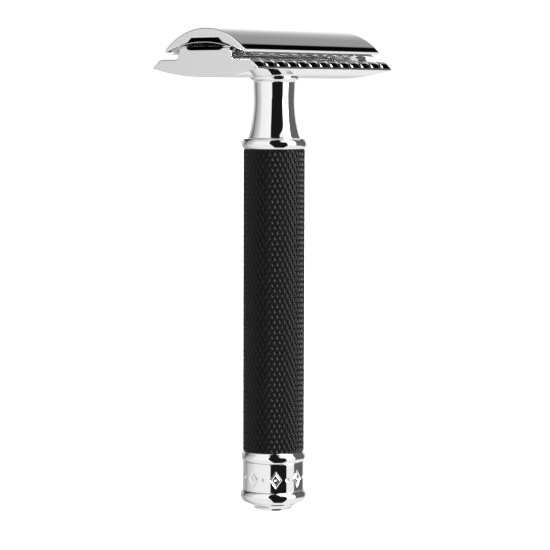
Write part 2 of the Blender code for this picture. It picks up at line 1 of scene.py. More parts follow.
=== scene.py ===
"""Looks of the double-edge safety razor: chrome head and fittings, knurled black grip.

Lengths below are in millimetres and become metres when a mesh is made.
Sizes come from the boxes of the CAD nodes wherever a box gives them.
"""

import math

import bpy
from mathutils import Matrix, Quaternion, Vector


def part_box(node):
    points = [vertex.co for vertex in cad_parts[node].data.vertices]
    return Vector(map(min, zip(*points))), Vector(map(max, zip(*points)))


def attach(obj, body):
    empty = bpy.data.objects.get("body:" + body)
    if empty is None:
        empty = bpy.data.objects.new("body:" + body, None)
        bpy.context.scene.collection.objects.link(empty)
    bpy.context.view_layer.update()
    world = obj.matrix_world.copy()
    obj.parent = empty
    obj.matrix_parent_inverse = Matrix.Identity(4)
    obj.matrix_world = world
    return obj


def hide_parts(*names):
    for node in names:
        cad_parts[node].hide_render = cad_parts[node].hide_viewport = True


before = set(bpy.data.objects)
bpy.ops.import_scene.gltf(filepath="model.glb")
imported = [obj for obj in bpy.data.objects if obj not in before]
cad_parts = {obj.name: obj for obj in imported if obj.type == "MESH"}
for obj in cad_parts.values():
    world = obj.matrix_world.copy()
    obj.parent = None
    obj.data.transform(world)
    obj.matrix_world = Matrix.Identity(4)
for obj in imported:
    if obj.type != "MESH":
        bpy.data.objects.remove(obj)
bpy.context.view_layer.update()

MM = 0.001
SEAM = 0.05                     # gap between pieces that touch

# Camera and studio
CAMERA_AZIMUTH = -49.84         # degrees round the razor, 0 looks along +Y
CAMERA_DISTANCE = 444.1         # from the handle's axis
CAMERA_HEIGHT = 83.6
CAMERA_PITCH = 4.65             # degrees below level
CAMERA_ROLL = 0.16
CAMERA_LENS = 144.9
CAMERA_SHIFT = 0.00205

# Roundings
EDGE = 0.28                     # of the head's ends
FINE_EDGE = 0.08
ROUND = 192                     # facets round the handle
FLAT_FACE = 40                  # a face with this many corners is a flat end

# Shapes that no box gives
BLADE_BEND = 26.0
BLADE_THICKNESS = 0.1
BLADE_HONED = 0.6
BLADE_HONED_TIP = 0.02
BLADE_EDGE = 37.3
BLADE_TAB = 13.0
SLOT_LENGTH = 34.0
SLOT_WIDTH = 2.2
STUD_CLEARANCE = 0.18
PIN_CLEARANCE = 0.12
CAP_TIP = 0.61
CAP_UNDERCUT = 0.18             # lean of the edge face under the tip
CAP_LEDGE = 3.4                 # width of the clamping face
CAP_SHOULDER = (2.3, 0.7)
CAP_CEILING = (1.0, 0.9)
PLATE_SAG = 1.62                # rise of the arched underside
SHELF_HEIGHT = 3.38
SHELF_REACH = 11.8
COMB_TIP = 0.33
COMB_ROUND = 2.0                # radius of the shelf's outer edge
BLOCK_HALF_WIDTH = 6.5
BLOCK_REST = 1.1
BLOCK_LEAN = 0.35
BLOCK_FILLET = 0.9
DIP_HALF_WIDTH = 3.95
DIP_SLOPE = 0.75
DIP_DEPTH = 1.3
DIP_FILLET = 0.6
GROOVE_COUNT = 12
GROOVE_MARGIN = 3.04
GROOVE_HALF_WIDTH = 0.56
GROOVE_DEPTH = 0.80
GROOVE_RUNOUT = 0.16            # depth left where a groove meets the comb's edge
THREAD_PITCH = 0.8
THREAD_DEPTH = 0.4
WAIST_RADIUS = 4.07
NECK_FLARE = 1.28
FLANGE_LIP = 0.80
FLANGE_HEIGHT = 0.65
KNURLS_ROUND = 36
KNURL_HEIGHT = 2.1
KNURL_DEPTH = 0.32


def box(node):
    """Lowest and highest corner of a CAD node, in millimetres."""
    low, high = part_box(node)
    return Vector(low) / MM, Vector(high) / MM


# ---------------------------------------------------------------- outlines

def arc(centre, radius, start, end, count):
    """Points on an arc, between two angles in degrees."""
    points = []
    for step in range(count + 1):
        angle = math.radians(start + (end - start) * step / count)
        points.append((centre[0] + radius * math.cos(angle), centre[1] + radius * math.sin(angle)))
    return points


def round_corner(before, corner, after, radius, steps):
    """The arc that rounds one corner, as steps + 1 points."""
    here = Vector(corner)
    arm_in = Vector(before) - here
    arm_out = Vector(after) - here
    turn = math.pi - arm_in.angle(arm_out)
    reach = min(radius * math.tan(turn / 2), 0.48 * arm_in.length, 0.48 * arm_out.length)
    size = reach / math.tan(turn / 2)
    middle = (arm_in.normalized() + arm_out.normalized()).normalized()
    centre = here + middle * (size / math.cos(turn / 2))
    first = here + arm_in.normalized() * reach - centre
    last = here + arm_out.normalized() * reach - centre
    points = []
    for step in range(steps + 1):
        share = step / steps
        spoke = (first * math.sin((1 - share) * turn) + last * math.sin(share * turn)) / math.sin(turn)
        points.append(tuple(centre + spoke))
    return points


def soften(corners, steps=4, closed=True):
    """An outline from (across, level, radius) corners: a radius above 0 rounds its corner."""
    points = []
    count = len(corners)
    for index, (across, level, radius) in enumerate(corners):
        at_end = not closed and index in (0, count - 1)
        if radius <= 0.0 or at_end:
            points.append((across, level))
            continue
        before = corners[index - 1][:2]
        after = corners[(index + 1) % count][:2]
        points.extend(round_corner(before, (across, level), after, radius, steps))
    return points


def plain(points):
    """Points as corners that stay as they are."""
    return [(across, level, 0.0) for across, level in points]


def mirror_corners(half):
    """A whole section's corners from its right half, which runs from the middle and back to it."""
    return half + [(-across, level, radius) for across, level, radius in reversed(half) if across > 1e-6]


# ---------------------------------------------------------------- meshes

def make_piece(name, verts, faces, material, body, nodes):
    """A smooth mesh piece that rides on a body and stands for its CAD nodes."""
    mesh = bpy.data.meshes.new(name)
    mesh.from_pydata([(x * MM, y * MM, z * MM) for x, y, z in verts], [], faces)
    mesh.validate()
    mesh.shade_smooth()
    for face in mesh.polygons:
        face.use_smooth = len(face.vertices) < FLAT_FACE
    mesh.materials.append(material)
    piece = bpy.data.objects.new(name, mesh)
    bpy.context.scene.collection.objects.link(piece)
    normals = piece.modifiers.new("even_normals", "WEIGHTED_NORMAL")
    normals.weight = 100
    normals.keep_sharp = True
    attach(piece, body)
    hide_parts(*nodes)
    return piece


def lathe_mesh(outline, count=ROUND, relief=None, at=(0.0, 0.0)):
    """Vertices and faces of an outline of (radius, level) points turned about an upright line.

    The outline runs anticlockwise seen with the radius to the right. relief(angle, level) is cut off
    the radius of the points that are furthest out.
    """
    on_axis = outline[0][0] == 0.0
    widest = max(radius for radius, level in outline)
    verts, rings, faces = [], [], []
    for radius, level in outline:
        turns = 1 if radius == 0.0 else count
        rings.append((len(verts), turns))
        for step in range(turns):
            angle = 2 * math.pi * step / count
            cut = relief(angle, level) if relief and radius > widest - 1e-6 else 0.0
            reach = radius - cut
            verts.append((at[0] + reach * math.cos(angle), at[1] + reach * math.sin(angle), level))
    pairs = list(zip(rings, rings[1:]))
    if not on_axis:
        pairs.append((rings[-1], rings[0]))
    for (first, first_count), (second, second_count) in pairs:
        for step in range(count):
            after = (step + 1) % count
            corners = [first + step % first_count, first + after % first_count,
                       second + after % second_count, second + step % second_count]
            faces.append(list(dict.fromkeys(corners)))
    return verts, faces


def lathe(name, corners, material, body, nodes, count=ROUND, relief=None, at=(0.0, 0.0)):
    """A turned piece, from the corners of its outline."""
    closed = corners[0][0] != 0.0
    verts, faces = lathe_mesh(soften(corners, closed=closed), count, relief, at)
    return make_piece(name, verts, faces, material, body, nodes)


def inward(section):
    """The inward direction at each point of a closed section, stretched at corners."""
    directions = []
    count = len(section)
    for index in range(count):
        before = Vector(section[index - 1])
        here = Vector(section[index])
        after = Vector(section[(index + 1) % count])
        first = (here - before).normalized()
        second = (after - here).normalized()
        along = (first + second).normalized()
        directions.append(Vector((-along.y, along.x)) / max(0.6, along.dot(first)))
    return directions


def room(section, directions):
    """The distance from each point of a section, straight inwards, to its other side."""
    reaches = []
    count = len(section)
    sides = [(Vector(section[index]), Vector(section[(index + 1) % count])) for index in range(count)]
    for index, inwards in enumerate(directions):
        here = Vector(section[index])
        reach = 100.0
        for number, (start, end) in enumerate(sides):
            if number in (index, (index - 1) % count):
                continue
            side = end - start
            slant = inwards.x * side.y - inwards.y * side.x
            if abs(slant) < 1e-9:
                continue
            gap = start - here
            ahead = (gap.x * side.y - gap.y * side.x) / slant
            share = (gap.x * inwards.y - gap.y * inwards.x) / slant
            if 1e-6 < ahead < reach and 0.0 <= share <= 1.0:
                reach = ahead
        reaches.append(reach)
    return reaches


def loft_mesh(stations):
    """Vertices and faces through (x, section) stations; every section has as many points."""
    count = len(stations[0][1])
    verts = [(x, y, z) for x, section in stations for y, z in section]
    faces = []
    for row in range(len(stations) - 1):
        start = row * count
        for step in range(count):
            after = (step + 1) % count
            faces.append([start + step, start + count + step, start + count + after, start + after])
    faces.append(list(range(count)))
    last = len(verts) - count
    faces.append(list(reversed(range(last, last + count))))
    return verts, faces


def rounded_ends(half_length, edge, end_section):
    """Stations that round a loft's end at +X, from the inside out."""
    steps = 7
    directions = inward(end_section)
    depths = [min(edge, 0.28 * reach) for reach in room(end_section, directions)]
    stations = []
    for step in range(steps + 1):
        angle = math.pi / 2 * step / steps
        x = half_length - edge * (1 - math.sin(angle))
        share = 1 - math.cos(angle)
        stations.append((x, [tuple(Vector(point) + way * depth * share)
                             for point, way, depth in zip(end_section, directions, depths)]))
    return stations


def with_ends(middle, half_length, edge, end_section):
    """Middle stations of a loft with a rounded end on both sides."""
    right = rounded_ends(half_length, edge, end_section)
    left = [(-x, section) for x, section in reversed(right)]
    return left + middle + right


# ---------------------------------------------------------------- materials

def new_material(name):
    """An empty Principled material, its nodes, links and shader."""
    material = bpy.data.materials.new(name)
    material.use_nodes = True
    nodes = material.node_tree.nodes
    return material, nodes, material.node_tree.links, nodes["Principled BSDF"]


def noise(nodes, links, scale, detail=3.0, stretch=(1.0, 1.0, 1.0), distort=0.0):
    """A noise texture in the piece's own metres, scale in features per metre."""
    place = nodes.new("ShaderNodeTexCoord")
    mapping = nodes.new("ShaderNodeMapping")
    mapping.inputs["Scale"].default_value = stretch
    texture = nodes.new("ShaderNodeTexNoise")
    texture.inputs["Scale"].default_value = scale
    texture.inputs["Detail"].default_value = detail
    texture.inputs["Distortion"].default_value = distort
    links.new(place.outputs["Object"], mapping.inputs["Vector"])
    links.new(mapping.outputs["Vector"], texture.inputs["Vector"])
    return texture.outputs["Fac"]


def ranged(nodes, links, value, low, high, start=0.0, end=1.0):
    """A value moved from one range to another."""
    node = nodes.new("ShaderNodeMapRange")
    node.inputs["From Min"].default_value = start
    node.inputs["From Max"].default_value = end
    node.inputs["To Min"].default_value = low
    node.inputs["To Max"].default_value = high
    links.new(value, node.inputs["Value"])
    return node.outputs["Result"]


def blend_colours(nodes, links, value, first, second):
    """A colour between two others."""
    node = nodes.new("ShaderNodeMix")
    node.data_type = "RGBA"
    node.inputs["A"].default_value = (*first, 1.0)
    node.inputs["B"].default_value = (*second, 1.0)
    links.new(value, node.inputs["Factor"])
    return node.outputs["Result"]


def bump(nodes, links, value, strength, distance):
    """A bump normal from a value; distance in metres."""
    node = nodes.new("ShaderNodeBump")
    node.inputs["Strength"].default_value = strength
    node.inputs["Distance"].default_value = distance
    links.new(value, node.inputs["Height"])
    return node.outputs["Normal"]


def chrome_material(name, first, second, gloss, wear, grain=(1.0, 1.0, 1.0)):
    """Chrome plate: clouded by faint wipe marks, with hairlines that only the bump shows."""
    material, nodes, links, shader = new_material(name)
    shader.inputs["Metallic"].default_value = 1.0
    clouds = noise(nodes, links, 260.0, 4.0, grain, 0.6)
    links.new(blend_colours(nodes, links, clouds, first, second), shader.inputs["Base Color"])
    links.new(ranged(nodes, links, clouds, gloss, wear, 0.35, 0.75), shader.inputs["Roughness"])
    hairlines = noise(nodes, links, 900.0, 2.0, tuple(1.0 + 9.0 * part for part in grain))
    links.new(bump(nodes, links, hairlines, 0.015, 0.00001), shader.inputs["Normal"])
    return material


def metal_material(name, first, second, smooth, rough, grain, depth=0.2):
    """A turned, drawn or ground metal with its tool marks."""
    material, nodes, links, shader = new_material(name)
    shader.inputs["Metallic"].default_value = 1.0
    marks = noise(nodes, links, 700.0, 5.0, grain)
    links.new(blend_colours(nodes, links, marks, first, second), shader.inputs["Base Color"])
    links.new(ranged(nodes, links, marks, smooth, rough, 0.3, 0.7), shader.inputs["Roughness"])
    links.new(bump(nodes, links, marks, depth, 0.00002), shader.inputs["Normal"])
    return material


def grip_material():
    """Black coated metal, painted paler on the knurl's crests as a painted highlight and darker in its
    grooves as painted shade.
    """
    material, nodes, links, shader = new_material("grip_black")
    shader.inputs["Metallic"].default_value = 0.0
    shader.inputs["Specular IOR Level"].default_value = 0.16
    geometry = nodes.new("ShaderNodeNewGeometry")
    # Painted shade in the knurl's grooves and a painted highlight on its crests, chosen by the surface's
    # pointiness
    painted_knurl_light = ranged(nodes, links, geometry.outputs["Pointiness"], 0.0, 1.0, 0.48, 0.56)
    links.new(blend_colours(nodes, links, painted_knurl_light, (0.0025, 0.0025, 0.003), (0.006, 0.006, 0.0065)),
              shader.inputs["Base Color"])
    clouds = noise(nodes, links, 500.0, 4.0)
    links.new(ranged(nodes, links, clouds, 0.16, 0.26, 0.3, 0.7), shader.inputs["Roughness"])
    pores = noise(nodes, links, 9000.0, 2.0)
    links.new(bump(nodes, links, pores, 0.12, 0.00001), shader.inputs["Normal"])
    return material


def rubber_material():
    """Matt black rubber."""
    material, nodes, links, shader = new_material("seal_rubber")
    clouds = noise(nodes, links, 1500.0, 4.0)
    links.new(blend_colours(nodes, links, clouds, (0.015, 0.015, 0.015), (0.035, 0.034, 0.033)),
              shader.inputs["Base Color"])
    links.new(ranged(nodes, links, clouds, 0.6, 0.85), shader.inputs["Roughness"])
    links.new(bump(nodes, links, clouds, 0.3, 0.00003), shader.inputs["Normal"])
    return material


CHROME = chrome_material("polished_chrome", (0.885, 0.89, 0.90), (0.865, 0.87, 0.88), 0.015, 0.045)
TURNED_CHROME = chrome_material("turned_chrome", (0.885, 0.89, 0.90), (0.865, 0.87, 0.88), 0.015, 0.05,
                                (0.4, 0.4, 3.0))
STUD_CHROME = chrome_material("thread_chrome", (0.78, 0.79, 0.80), (0.70, 0.71, 0.72), 0.10, 0.22)
MILLED_CHROME = metal_material("milled_chrome", (0.86, 0.865, 0.875), (0.80, 0.805, 0.815), 0.45, 0.60,
                               (6.0, 1.0, 1.0), 0.08)
GROUND_STEEL = metal_material("ground_steel", (0.80, 0.81, 0.82), (0.72, 0.73, 0.74), 0.20, 0.32,
                              (0.2, 6.0, 6.0), 0.05)
HONED_STEEL = metal_material("honed_steel", (0.86, 0.87, 0.88), (0.76, 0.77, 0.78), 0.10, 0.20,
                             (9.0, 1.0, 1.0))
TURNED_STEEL = metal_material("turned_steel", (0.62, 0.63, 0.64), (0.50, 0.51, 0.52), 0.22, 0.40,
                              (0.3, 0.3, 8.0))
BRASS = metal_material("turned_brass", (0.82, 0.64, 0.32), (0.70, 0.52, 0.24), 0.20, 0.38, (0.3, 0.3, 8.0))
ALUMINIUM = metal_material("drawn_aluminium", (0.76, 0.77, 0.78), (0.66, 0.67, 0.68), 0.25, 0.42,
                           (8.0, 8.0, 0.3))
GRIP_BLACK = grip_material()
RUBBER = rubber_material()


# ---------------------------------------------------------------- handle

def bead_corners(edge, painted_knurl_light, base, middle, top, count=10):
    """The round outside of a bead: two arcs that meet at the crest's level."""
    proud = painted_knurl_light - edge
    points = []
    for reach, order in ((base - middle, range(count)), (top - middle, range(count, -1, -1))):
        radius = (reach ** 2 + proud ** 2) / (2 * proud)
        widest = math.asin(min(1.0, abs(reach) / radius))
        for step in order:
            tilt = widest * (1 - step / count)
            level = middle + math.copysign(radius * math.sin(tilt), reach)
            points.append((painted_knurl_light - radius * (1 - math.cos(tilt)), level, 0.0))
    return points


def make_foot():
    """The button that the razor stands on."""
    low, high = box("foot_button")
    radius = high.x
    cap_low = box("end_cap")[0].z
    hidden = cap_low - SEAM
    stem = 1.2
    corners = [(0.0, low.z, 0.0), (radius, low.z, 0.18), (radius, hidden, 0.02), (stem, hidden, 0.0),
               (stem, high.z, 0.1), (0.0, high.z, 0.0)]
    lathe("foot_disc", corners, TURNED_CHROME, "handle", ["foot_button"], 128)


def make_end_cap():
    """The stepped end cap and its spigot."""
    low, high = box("end_cap")
    bead_low = box("lower_bead")[0].z
    rim_level = bead_low - SEAM
    rim = high.x
    lower = rim - 1.18
    rise = rim_level - low.z
    spigot = box("core_tube")[1].x
    bore = spigot - 1.0
    groove_low = rim_level + (high.z - rim_level) * 0.5
    groove_high = groove_low + 0.58
    groove_floor = spigot - 0.53
    stem = 1.25
    corners = [(0.0, low.z + 1.1, 0.0), (stem, low.z + 1.1, 0.0), (stem, low.z, 0.05),
               (lower, low.z, 0.06), (lower, low.z + 0.2 * rise, 0.06),
               (rim, low.z + 0.75 * rise, 0.08), (rim, rim_level, 0.05), (spigot, rim_level, 0.0),
               (spigot, groove_low, 0.0), (groove_floor, groove_low, 0.0),
               (groove_floor, groove_high, 0.0), (spigot, groove_high, 0.0), (spigot, high.z, 0.1),
               (bore, high.z, 0.1), (bore, rim_level, 0.0), (0.0, rim_level, 0.0)]
    lathe("end_cap_shell", corners, TURNED_CHROME, "handle", ["end_cap"])


def make_beads():
    """The three beads round the handle."""
    bore = box("core_tube")[1].x + SEAM
    band = box("engraved_band")[1].x
    grip = box("knurled_grip")[1].x
    plans = [("lower_bead", "lower_bead_ring", band, 0.58, 1.0),
             ("upper_bead", "upper_bead_ring", band, 0.40, 0.83),
             ("neck_ring", "neck_bead_ring", grip - 0.03, 0.50, 1.0)]
    for node, name, edge, painted_knurl_light, end in plans:
        low, high = box(node)
        height = high.z - low.z
        round_side = bead_corners(edge, high.x, low.z, low.z + painted_knurl_light * height, low.z + end * height)
        corners = [(bore, low.z, 0.0), *round_side, (edge, high.z, 0.0), (bore, high.z, 0.0)]
        lathe(name, corners, TURNED_CHROME, "handle", [node])


BAND_MARKS = 8                  # lozenges round the band
MARK_HEIGHT = 2.75
MARK_WIDTH = 2.0
MARK_LINE = 0.17                # half the width of an engraved line
MARK_DEPTH = 0.16


def engraving(radius, low, high):
    """Depth cut into the band at an angle and a level: lozenges with a dot between each two."""
    middle = low + (high - low) * 0.46

    def depth(angle, level):
        pitch = 2 * math.pi / BAND_MARKS
        turn = (angle + pitch / 2) % pitch - pitch / 2
        across = abs(turn) * radius
        up = abs(level - middle)
        slope = math.hypot(MARK_HEIGHT, MARK_WIDTH) / 2
        gap = (across * MARK_HEIGHT + up * MARK_WIDTH - MARK_HEIGHT * MARK_WIDTH / 2) / 2 / slope
        line = abs(gap) - MARK_LINE
        dot = math.hypot((pitch / 2 * radius) - across, up) - 0.32
        heart = math.hypot(across, up) - 0.22
        nearest = min(line, dot, heart)
        share = min(1.0, max(0.0, 0.5 - nearest / 0.12))
        return MARK_DEPTH * share * share * (3 - 2 * share)
    return depth


def make_band():
    """The ring with its engraved marks."""
    low, high = box("engraved_band")
    bore = box("core_tube")[1].x + SEAM
    radius = high.x
    rows = 72
    edge = 0.07
    straight = high.z - low.z - 2 * edge
    side = [(radius, low.z + edge + straight * row / rows, 0.0) for row in range(rows + 1)]
    inset = 0.3 * edge
    corners = [(bore, low.z, 0.0), (radius - edge, low.z, 0.0), (radius - inset, low.z + inset, 0.0),
               *side, (radius - inset, high.z - inset, 0.0), (radius - edge, high.z, 0.0),
               (bore, high.z, 0.0)]
    lathe("engraved_ring", corners, TURNED_CHROME, "handle", ["engraved_band"], 576,
          engraving(radius, low.z, high.z))


def make_grip():
    """The knurled sleeve: lens-shaped diamonds between two crossing sets of grooves."""
    low, high = box("knurled_grip")
    radius = high.x
    bore = box("core_tube")[1].x + SEAM
    margin = 0.12
    per_knurl = 8
    columns = KNURLS_ROUND * per_knurl
    rows_per_knurl = 16
    length = high.z - low.z - 2 * margin
    knurls = round(length / KNURL_HEIGHT)
    rows = knurls * rows_per_knurl
    verts, faces = [], []
    levels = [low.z + margin + length * row / rows for row in range(rows + 1)]
    ends = [(radius - 0.10, low.z), (radius - 0.02, low.z + 0.05)]
    rings = [(reach, level, False) for reach, level in ends]
    rings += [(radius, level, True) for level in levels]
    rings += [(reach, low.z + high.z - level, False) for reach, level in reversed(ends)]
    rings += [(bore, high.z, False), (bore, low.z, False)]
    for reach, level, knurled in rings:
        for column in range(columns):
            angle = 2 * math.pi * column / columns
            out = reach
            if knurled:
                turn = column / per_knurl
                rise = (level - levels[0]) / length * knurls
                first = abs((turn + rise) % 1.0 - 0.5) * 2
                second = abs((turn - rise) % 1.0 - 0.5) * 2
                height = min(1 - first, 1 - second) * 2
                out = reach - KNURL_DEPTH * (1 - min(1.0, height) ** 0.8)
            verts.append((out * math.cos(angle), out * math.sin(angle), level))
    total = len(rings)
    for row in range(total):
        start = row * columns
        next_start = (row + 1) % total * columns
        for column in range(columns):
            after = (column + 1) % columns
            faces.append([start + column, start + after, next_start + after, next_start + column])
    make_piece("knurled_sleeve", verts, faces, GRIP_BLACK, "handle", ["knurled_grip"])


def neck_side(base, height):
    """The neck's outside, from its foot up to under the flange."""
    corners = []
    count = 40
    for step in range(count + 1):
        share = step / count
        flare = NECK_FLARE * max(0.0, 1 - share / 0.7) ** 2.2 + 0.13 * max(0.0, share - 0.7) / 0.3
        corners.append((WAIST_RADIUS + flare, base + height * share, 0.0))
    return corners


def make_neck():
    """The neck with its flange, spigot and bores."""
    low, high = box("neck")
    tube = box("core_tube")
    plate_base = box("base_plate")[0].z
    base = tube[1].z + SEAM
    insert_low, insert_high = box("thread_insert")
    bore = insert_high.x + SEAM
    floor = insert_low.z - SEAM
    spigot = tube[1].x - 1.05 - SEAM
    rod_hole = 1.55
    rod_floor = low.z + 7.05
    flange = high.x if high.x < WAIST_RADIUS + FLANGE_LIP else WAIST_RADIUS + FLANGE_LIP
    under = plate_base - FLANGE_HEIGHT
    corners = [(0.0, rod_floor, 0.0), (rod_hole, rod_floor, 0.0), (rod_hole, low.z, 0.0),
               (spigot, low.z, 0.1), (spigot, base, 0.0), *neck_side(base, under - base),
               (WAIST_RADIUS + 0.22, under + 0.02, 0.03),
               (WAIST_RADIUS + 0.85 * FLANGE_LIP, under + 0.5 * FLANGE_HEIGHT, 0.10),
               (flange, plate_base, 0.05), (flange, high.z, 0.05),
               (bore, high.z, 0.05), (bore, floor, 0.0), (0.0, floor, 0.0)]
    lathe("waisted_neck", corners, TURNED_CHROME, "handle", ["neck"])


# ---------------------------------------------------------------- head

BLADE_LOW, BLADE_HIGH = box("blade")
BLADE_CROWN = BLADE_HIGH.z - BLADE_THICKNESS / 2
BEND_CENTRE = BLADE_CROWN - BLADE_BEND
ABOVE_BLADE = BLADE_THICKNESS / 2 + SEAM


def bend_level(across, offset):
    """Level of the bent blade's middle surface, moved out by offset, at a distance from the axis."""
    return BEND_CENTRE + math.sqrt((BLADE_BEND + offset) ** 2 - across ** 2)


def cap_corners():
    """The cap's end view."""
    low, high = box("head_cap")
    half_width = high.y
    tip = bend_level(half_width, ABOVE_BLADE) + CAP_TIP
    rise = high.z - tip
    radius = (half_width ** 2 + rise ** 2) / (2 * rise)
    angle = math.degrees(math.asin(half_width / radius))
    clamp_edge = half_width - CAP_LEDGE
    outside = plain(arc((0.0, high.z - radius), radius, 90, 90 - angle, 48))
    outside[-1] = (*outside[-1][:2], 0.10)
    clamp = []
    count = 8
    start = half_width - CAP_UNDERCUT
    for step in range(count + 1):
        across = start + (clamp_edge - start) * step / count
        clamp.append((across, bend_level(across, ABOVE_BLADE), 0.0))
    clamp[0] = (*clamp[0][:2], FINE_EDGE)
    clamp[-1] = (*clamp[-1][:2], 0.30)
    shoulder = (clamp_edge - CAP_SHOULDER[0], clamp[-1][1] + CAP_SHOULDER[1])
    ceiling = shoulder[1] + CAP_CEILING[1]
    half = [*outside, *clamp, (*shoulder, 0.4), (shoulder[0] - CAP_CEILING[0], ceiling, 0.5),
            (0.0, ceiling, 0.0)]
    return mirror_corners(half), ceiling


def make_cap():
    """The arched cap."""
    corners, ceiling = cap_corners()
    section = soften(corners)
    section.reverse()
    half_length = box("head_cap")[1].x
    verts, faces = loft_mesh(with_ends([], half_length, EDGE, section))
    make_piece("arched_cap", verts, faces, CHROME, "cap", ["head_cap"])


def plate_corners(depth=0.0, runout=0.0):
    """The base plate's end view, with the comb's slope cut back by a depth that runs out downhill."""
    low, high = box("base_plate")
    half_width = high.y
    base = low.z
    arch = (half_width ** 2 + PLATE_SAG ** 2) / (2 * PLATE_SAG)
    shelf = base + SHELF_HEIGHT
    top = Vector((SHELF_REACH, shelf))
    edge = Vector((half_width, base + PLATE_SAG + COMB_TIP))
    run = (edge - top).normalized()
    out = Vector((-run.y, run.x))
    start = top - out * depth
    run = (edge - out * runout - start).normalized()

    def underside(across):
        return base + arch - math.sqrt(arch ** 2 - across ** 2)

    def slope_level(across):
        return start.y + run.y / run.x * (across - start.x)

    near, far = SHELF_REACH - 1, half_width
    least = 0.04
    if slope_level(far) < underside(far) + least:
        for _ in range(40):
            middle = (near + far) / 2
            if slope_level(middle) < underside(middle) + least:
                far = middle
            else:
                near = middle
    tip = far
    lip = start.x - (start.y - shelf) * run.x / run.y
    arched = [(tip * step / 24, underside(tip * step / 24), 0.0) for step in range(25)]
    arched[-1] = (*arched[-1][:2], 0.03)
    foot = BLOCK_HALF_WIDTH + BLOCK_LEAN
    fillet = plain(arc((foot + BLOCK_FILLET, shelf + BLOCK_FILLET), BLOCK_FILLET, 270, 180, 12))
    rest = [BLOCK_HALF_WIDTH - BLOCK_REST * share for share in (0.0, 0.25, 0.5, 0.75, 1.0)]
    ridge = [(across, bend_level(across, -ABOVE_BLADE), 0.0) for across in rest]
    ridge[0] = (*ridge[0][:2], 0.12)
    ridge[-1] = (*ridge[-1][:2], 0.12)
    dip = BLADE_CROWN - DIP_DEPTH
    dip_edge = DIP_HALF_WIDTH + DIP_SLOPE
    dip_lip = (dip_edge, bend_level(dip_edge, -ABOVE_BLADE) - 0.25 * DIP_SLOPE, 0.15)
    comb_edge = (tip, max(slope_level(tip), underside(tip) + least), 0.03)
    half = [*arched, comb_edge, (lip, shelf, COMB_ROUND), *fillet, *ridge, dip_lip,
            (DIP_HALF_WIDTH, dip, DIP_FILLET), (0.0, dip, 0.0)]
    return mirror_corners(half)


def groove_depth(off):
    """How deep a comb groove is, at a distance along X from its middle."""
    vee = GROOVE_DEPTH * (1.12 - math.sqrt((off / GROOVE_HALF_WIDTH) ** 2 + 0.12 ** 2))
    blend = 0.03
    return (vee + math.sqrt(vee ** 2 + blend ** 2)) / 2 - 0.0007


def make_plate():
    """The base plate, with its grooved comb, the neck's seat and the holes."""
    half_length = box("base_plate")[1].x
    pitch = (2 * half_length - 2 * GROOVE_MARGIN) / (GROOVE_COUNT - 1)
    offsets = [0.0, 0.17, 0.33, 0.46, 0.56, 0.63, 0.67, 0.71, 0.76, 0.84]
    offsets = [-off for off in reversed(offsets[1:])] + offsets
    middle = []
    for index in range(GROOVE_COUNT):
        centre = -half_length + GROOVE_MARGIN + pitch * index
        for off in offsets:
            depth = max(0.0, groove_depth(off)) if abs(off) < 0.8 else 0.0
            section = soften(plate_corners(depth, depth * GROOVE_RUNOUT / GROOVE_DEPTH))
            middle.append((centre + off, section))
    plain_section = soften(plate_corners())
    verts, faces = loft_mesh(with_ends(middle, half_length, EDGE, plain_section))
    plate = make_piece("comb_plate", verts, faces, CHROME, "guard", ["base_plate"])
    stud = box("threaded_stud")[1].x
    seat = WAIST_RADIUS + FLANGE_LIP + 0.06
    plate_low = box("base_plate")[0].z
    neck_top = box("neck")[1].z
    cut_round(plate, "seat", seat, plate_low - 1, neck_top + SEAM, (0.0, 0.0))
    cut_round(plate, "stud_hole", stud + 0.12, plate_low - 1, BLADE_CROWN, (0.0, 0.0))
    for node in ("locating_pin_left", "locating_pin_right"):
        low, high = box(node)
        spot = ((low.x + high.x) / 2, 0.0)
        cut_round(plate, "pin_hole", (high.x - low.x) / 2 + 0.06, low.z - 0.6, BLADE_CROWN, spot)
    apply_cuts(plate)
    plate.data.materials.append(MILLED_CHROME)
    for face in plate.data.polygons:
        on_slope = abs(face.center.y) > (SHELF_REACH - 0.6) * MM and 0.05 < face.normal.z < 0.9
        among_grooves = abs(face.center.x) < (half_length - GROOVE_MARGIN) * MM
        on_land = abs(face.normal.x) < 0.3
        face.material_index = 1 if on_slope and among_grooves and on_land else 0


def cut_round(piece, name, radius, low, high, spot):
    """Adds a round cut to a piece."""
    outline = [(0.0, low), (radius, low), (radius, high), (0.0, high)]
    verts, faces = lathe_mesh(outline, 96, None, spot)
    add_cut(piece, name, verts, faces)


def add_cut(piece, name, verts, faces):
    """Adds a Boolean cut with its own cutter."""
    mesh = bpy.data.meshes.new(name)
    mesh.from_pydata([(x * MM, y * MM, z * MM) for x, y, z in verts], [], faces)
    cutter = bpy.data.objects.new(name, mesh)
    bpy.context.scene.collection.objects.link(cutter)
    cutter.hide_render = True
    modifier = piece.modifiers.new(name, "BOOLEAN")
    modifier.operation = "DIFFERENCE"
    modifier.solver = "EXACT"
    modifier.object = cutter


def apply_cuts(piece):
    """Applies a piece's cuts, removes the cutters and evens the normals again."""
    cutters = [modifier.object for modifier in piece.modifiers if modifier.type == "BOOLEAN"]
    for modifier in list(piece.modifiers):
        if modifier.type == "WEIGHTED_NORMAL":
            piece.modifiers.remove(modifier)
    graph = bpy.context.evaluated_depsgraph_get()
    shaped = bpy.data.meshes.new_from_object(piece.evaluated_get(graph))
    piece.modifiers.clear()
    piece.data = shaped
    for cutter in cutters:
        bpy.data.objects.remove(cutter, do_unlink=True)
    shaped.shade_smooth()
    shaped.set_sharp_from_angle(angle=math.radians(40))
    normals = piece.modifiers.new("even_normals", "WEIGHTED_NORMAL")
    normals.weight = 100
    normals.keep_sharp = True


